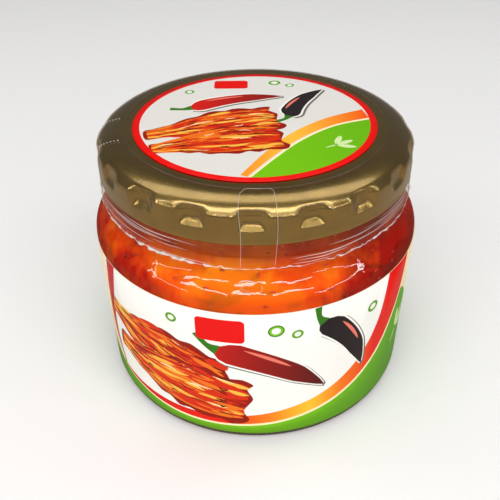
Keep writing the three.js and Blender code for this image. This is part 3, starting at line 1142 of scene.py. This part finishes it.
def add_cord(cords, path, halves, surface=film_surface):
    """Adds to the (points, faces) of the cords one along (row place, angle) points of a surface, with its
    half width at each."""
    points, faces = cords
    first = len(points)
    for k, (row_place, angle) in enumerate(path):
        start = on_surface(surface, *path[max(k - 1, 0)])
        end = on_surface(surface, *path[min(k + 1, len(path) - 1)])
        along = (end - start).normalized()
        up = smooth(row_place - 2) if surface is film_surface else 0.55
        out = Vector(around(1 - up, angle, up)).normalized()
        half = halves[k]
        side = along.cross(out).normalized() * half
        middle = on_surface(surface, row_place, angle) + out * (FILM + 0.5 * half)
        for a, b in ((-1, -0.5), (1, -0.5), (1, 0.5), (-1, 0.5)):
            points.append(tuple(middle + side * a + out * half * b))
    last = len(points) - 4
    for low in range(first, last, 4):
        for i in range(4):
            j = (i + 1) % 4
            faces.append((low + i, low + j, low + 4 + j, low + 4 + i))
    faces.append(tuple(first + i for i in reversed(range(4))))
    faces.append(tuple(last + i for i in range(4)))


def add_weld(cords):
    """The outline of the welded strip at the front, with two rounded corners on the cap's panel. The raised
    edge is whitened as a painted highlight.
    """
    left, right = math.radians(-4.6), math.radians(6.6)
    corner, corner_rows, top = 0.035, 0.12, 2.86
    corner_steps, side_steps, top_steps = 9, 59, 8
    quarter = [math.pi / 2 * i / corner_steps for i in range(1, corner_steps + 1)]
    path = []
    for i in range(side_steps + 1):
        t = i / side_steps
        path.append((mix(0.12, top, t), left + 0.012 * smooth(t) * math.sin(i / 11)))
    for turn in quarter:
        path.append((top + corner_rows * math.sin(turn), left + corner * (1 - math.cos(turn))))
    for i in range(1, top_steps):
        path.append((top + corner_rows, mix(left + corner, right - corner, i / top_steps)))
    for turn in quarter:
        path.append((top + corner_rows * math.cos(turn), right - corner * (1 - math.sin(turn))))
    for i in range(side_steps + 1):
        t = i / side_steps
        path.append((mix(top, 0.2, t), right + 0.008 * smooth(t) * math.sin(i / 13)))
    add_cord(cords, path, [0.026] * len(path))


def add_perforations(cords):
    """Two rows of small holes with whitened rims at the left of the cap."""
    half_length = 0.0032
    half_width = 0.13
    holes = 9
    for degrees, lean in ((-92, 0), (-71.7, -4)):
        for k in range(holes):
            share = k / (holes - 1)
            angle = math.radians(degrees + lean * share)
            for rim in range(2):
                row_place = mix(2.9, 2.2, share) + 0.004 * rim
                path = [(row_place, angle - half_length), (row_place, angle + half_length)]
                add_cord(cords, path, [half_width, half_width])


def add_creases(cords):
    """Fine stretch lines on the neck, at both sides, raised and whitened as painted highlights."""
    draw = random.Random(23)
    steps = 24
    for row_place in (0.16, 0.3, 0.42, 0.55, 0.68, 0.8, 0.9):
        for side in (-1, -1, -1, 1, 1, 1):
            start = side * math.radians(draw.uniform(8, 150))
            sweep = math.radians(draw.uniform(12, 34))
            tilt = draw.uniform(-0.05, 0.05)
            wide = draw.uniform(0.025, 0.075)
            path, halves = [], []
            for t in range(steps + 1):
                row = row_place + tilt * t / steps + 0.008 * math.sin(t / 2.3)
                path.append((row, start + sweep * t / steps))
                halves.append(wide * math.sin(math.pi * t / steps) + 0.008)
            add_cord(cords, path, halves)


def add_curls(cords):
    """Three runs of small curls along the film's lower edge, white as painted highlights of its crinkles."""
    runs = ((-58, 38, 9, 0.0, 0.055), (-50, 34, 8, 2.1, 0.055), (28, 30, 7, 1.0, 0.035))
    steps = 239
    for start, sweep, curls, phase, wide in runs:
        path = []
        for i in range(steps + 1):
            t = i / steps
            turn = TAU * curls * t + phase
            swing = 0.6 + 0.4 * math.sin(5 * t + phase)
            degrees = start + sweep * t + 1.1 * swing * math.cos(turn)
            path.append((0.07 + 0.055 * swing * math.sin(turn), math.radians(degrees)))
        add_cord(cords, path, [wide * (0.4 + 0.6 * abs(math.sin(i / 17))) for i in range(steps + 1)])


def add_loop(cords):
    """A white loop that lies on the glass below the weld, as a painted highlight."""
    steps = 40
    path, halves = [], []
    for i in range(steps + 1):
        turn = TAU * (0.12 + 0.9 * i / steps)
        degrees = -1.6 + 3.7 * math.cos(turn + 0.35)
        path.append((SHOULDER_TOP - 4.6 + 1.15 * math.sin(turn), math.radians(degrees)))
        halves.append(0.03 + 0.07 * max(0.0, math.sin(turn)))
    add_cord(cords, path, halves, glass_surface)


def add_lip(cords):
    """The rolled lower edge of the film, thickest at the left of the front, whitened as a painted highlight.
    """
    steps = 700
    path, halves = [], []
    for i in range(steps):
        angle = TAU * i / steps
        x, y, _ = around(1, angle, 0)
        path.append((0.03 + 0.13 * max(0.0, wobble(x * 34, y * 34, 2)), angle))
        left_front = math.exp(-((angle - TAU + 0.6) / 0.35) ** 2)
        strength = 0.28 + 1.2 * wobble(x * 5, y * 5, 7) + 0.16 * (1 - math.cos(2 * angle))
        strength += 1.5 * left_front
        thick = smooth(0.5 + 1.2 * wobble(x * 28, y * 28, 4))
        halves.append(0.02 + 0.28 * min(max(0.0, strength), 1.0 + 0.5 * left_front) * thick)
    add_cord(cords, path + path[:1], halves + halves[:1])


def make_film_marks():
    cords = ([], [])
    add_weld(cords)
    add_perforations(cords)
    add_creases(cords)
    add_curls(cords)
    add_loop(cords)
    add_lip(cords)
    make_piece("film_marks", *cords, "film", materials=[marks_and_glints_material()])


# Kimchi
def make_brine():
    """The brine reaches just into the glass all round, so that no air gap shows."""
    into = 0.15
    belly = CAVITY_RADIUS + into
    neck = MOUTH_RADIUS + into
    low = rounded([
        (0, FLOOR_HEIGHT - into, 0),
        (belly, FLOOR_HEIGHT - into, INNER_CORNER + into),
        (belly, SHOULDER_FOOT, 0),
    ])[:-1]
    top = rounded([(neck, SHOULDER_TOP, 0), (neck, FILL_HEIGHT, 0.6), (0, FILL_HEIGHT - 0.3, 0)])[1:]
    points, faces = turned([*low, *shoulder_line(belly, neck), *top], columns=160)
    make_piece("brine", points, faces, "brine", "kimchi", [brine_material()])


def make_core():
    """A lumpy mass that the leaves lie on."""
    inset = 3.4
    foot = FLOOR_HEIGHT + 2.2
    top = FILL_HEIGHT - 1.5
    belly = CAVITY_RADIUS - inset
    neck = MOUTH_RADIUS - inset
    profile = rounded([(0, foot, 0), (belly, foot, 7), (belly, SHOULDER_FOOT, 0)], 1.5)[:-1]
    profile += [(belly, z) for z in range(14, int(LABEL_TOP), 2)]
    profile += [(radius - inset, z) for radius, z in shoulder_line(CAVITY_RADIUS, MOUTH_RADIUS, 6)]
    profile += rounded([(neck, SHOULDER_TOP + 1.5, 0), (neck, top, 3), (0, top, 0)], 1.5)

    def swell(radius, angle, z):
        x, y, _ = around(radius * 0.12, angle, 0)
        lump = wobble(x, y, z * 0.14) * 1.6 + wobble(x * 2.6, y * 2.6, z * 0.4) * 0.8
        return radius + min(lump, 1.4) * min(1, radius / 8)

    points, faces = turned(profile, columns=128, rule=swell)
    make_piece("kimchi_core", points, faces, "kimchi", "kimchi", [core_material()])


LEAF_COLUMNS = 23
LEAF_ROWS = 15
WALL_LEAVES = ((46.4, 10, 0.8), (53.4, 11, 1.0), (59.9, 9, 0.7), (63.9, 8, 0.9))
FLOOR_LEAVES = 9


def leaf_shape(draw, wide, tall, thick):
    """A wavy piece of leaf in its own plane, as rows of (x, y, lift, thickness, rib)."""
    phase, twist = draw.uniform(0, TAU), draw.uniform(-0.4, 0.4)
    rib_place = draw.uniform(-0.25, 0.25)
    shape = []
    for j in range(LEAF_ROWS):
        v = 2 * j / (LEAF_ROWS - 1) - 1
        for i in range(LEAF_COLUMNS):
            u = 2 * i / (LEAF_COLUMNS - 1) - 1
            edge = 1 + 0.12 * math.sin(5 * u + phase) + 0.06 * math.sin(11 * u + 2 * phase)
            side = 1 + 0.10 * math.sin(4 * v + phase) + 0.07 * math.sin(9 * v - phase)
            x = wide / 2 * u * side * (1 - 0.12 * v * v)
            y = tall / 2 * v * edge * (1 - 0.22 * u ** 4)
            rib = math.exp(-((v - rib_place - twist * u) / 0.35) ** 2)
            ruffle = 0.5 * math.sin(6 * u + 3 * v + phase) * (1 - rib)
            rim = min(1, 2.6 * (1 - max(abs(u), abs(v)) ** 3) + 0.12)
            shape.append((x, y, ruffle, thick * (0.45 + 0.9 * rib) * rim, rib))
    return shape


def add_leaf(leaves, shape, lay):
    """Adds a leaf's two faces and rim to the (points, faces, ribs) of the leaves. lay puts a flat point
    with its depth in place."""
    points, faces, ribs = leaves
    first = len(points)
    count = len(shape)
    wide, high = LEAF_COLUMNS, LEAF_ROWS
    for depth in (0.0, 1.0):
        for x, y, ruffle, thick, rib in shape:
            points.append(lay(x, y, ruffle, depth * thick))
            ribs.append(rib)
    for j in range(high - 1):
        for i in range(wide - 1):
            a = first + j * wide + i
            b = a + count
            faces.append((a, a + 1, a + wide + 1, a + wide))
            faces.append((b + wide, b + wide + 1, b + 1, b))
    border = [*range(wide), *[j * wide + wide - 1 for j in range(1, high)]]
    border += [(high - 1) * wide + i for i in range(wide - 2, -1, -1)]
    border += [j * wide for j in range(high - 2, 0, -1)]
    for k, a in enumerate(border):
        b = border[(k + 1) % len(border)]
        faces.append((first + b, first + a, first + a + count, first + b + count))


def add_wall_leaf(leaves, draw, angle, height, inset):
    """A leaf that lies against the glass and bridges its bend at the shoulder."""
    height += draw.uniform(-1.5, 1.5)
    tilt = draw.uniform(-0.6, 0.6)
    inset *= draw.uniform(0.3, 1.6)
    shape = leaf_shape(draw, draw.uniform(16, 30), draw.uniform(9, 15), draw.uniform(2, 3))

    def lay(x, y, ruffle, depth):
        along, z = spun(0, height, x, y, tilt)
        z = min(max(z, FLOOR_HEIGHT + 1), FILL_HEIGHT - 0.8)
        wall = cavity_radius(z)
        bridge = 0.5 * smooth(1 - abs(z - SHOULDER_TOP + 2.5) / 5)
        radius = wall - 0.35 - bridge - inset * (0.6 + ruffle) - depth
        return around(radius, angle + along / wall, z)

    add_leaf(leaves, shape, lay)


def add_floor_leaf(leaves, draw, angle):
    """A leaf that lies on the jar's floor, where it shows from below."""
    far = draw.uniform(12, 24)
    turn = draw.uniform(0, TAU)
    shape = leaf_shape(draw, draw.uniform(20, 30), draw.uniform(13, 18), draw.uniform(2, 3))

    def lay(x, y, ruffle, depth):
        place_x, place_y = spun(far * math.cos(angle), far * math.sin(angle), x, y, turn)
        return (place_x, place_y, FLOOR_HEIGHT + 0.4 + 0.8 * (0.5 + ruffle) + depth)

    add_leaf(leaves, [(x, -y, *rest) for x, y, *rest in shape], lay)


def make_leaves():
    draw = random.Random(7)
    points, faces, ribs = leaves = ([], [], [])
    for k, (height, count, inset) in enumerate(WALL_LEAVES):
        for i in range(count):
            angle = TAU * (i + 0.45 * k + 0.4 * draw.random()) / count
            add_wall_leaf(leaves, draw, angle, height, inset)
    for i in range(FLOOR_LEAVES):
        angle = TAU * (i + 0.6 * draw.random()) / FLOOR_LEAVES
        add_floor_leaf(leaves, draw, angle)
    piece = make_piece("kimchi_leaves", points, faces, "kimchi", "kimchi", [leaf_material()])
    attribute = piece.data.attributes.new("rib", "FLOAT", "POINT")
    attribute.data.foreach_set("value", ribs)


def make_flakes():
    """Chilli flakes against the glass: small bent chips, most of them in the band that shows."""
    draw = random.Random(19)
    flakes = 420
    share_in_band = 0.6
    chip = 0.22
    points, faces = [], []
    for _ in range(flakes):
        angle = draw.uniform(0, TAU)
        if draw.random() < share_in_band:
            z = draw.uniform(BAND_FOOT, FILL_HEIGHT - 1)
        else:
            z = draw.uniform(FLOOR_HEIGHT + 7, BAND_FOOT + 1.5)
        wall = cavity_radius(z)
        size = draw.uniform(0.25, 1.0)
        turn = draw.uniform(0, TAU)
        corners = draw.randint(5, 7)
        depth = draw.uniform(-0.25, 0.1)
        first = len(points)
        for layer in (0.0, chip):
            for i in range(corners):
                a = TAU * i / corners + turn
                reach = size * draw.uniform(0.6, 1.1) if layer == 0.0 else size * 0.8
                along, up = reach * math.cos(a), 0.7 * reach * math.sin(a)
                points.append(around(wall - depth - layer, angle + along / wall, z + up))
        faces.append(tuple(first + i for i in range(corners)))
        faces.append(tuple(first + corners + i for i in reversed(range(corners))))
        for i in range(corners):
            j = (i + 1) % corners
            faces.append((first + j, first + i, first + corners + i, first + corners + j))
    make_piece("chilli_flakes", points, faces, "chilli", "kimchi", [flake_material()])


make_camera()
make_light()
make_floor()
make_glass()
make_cap()
all_inks = make_inks()
make_body_label(all_inks)
make_cap_label(all_inks)
make_film()
make_film_marks()
make_brine()
make_core()
make_leaves()
make_flakes()

scene = bpy.context.scene
scene.view_settings.view_transform = "Standard"
scene.cycles.max_bounces = 16
scene.cycles.transmission_bounces = 12
scene.cycles.transparent_max_bounces = 16
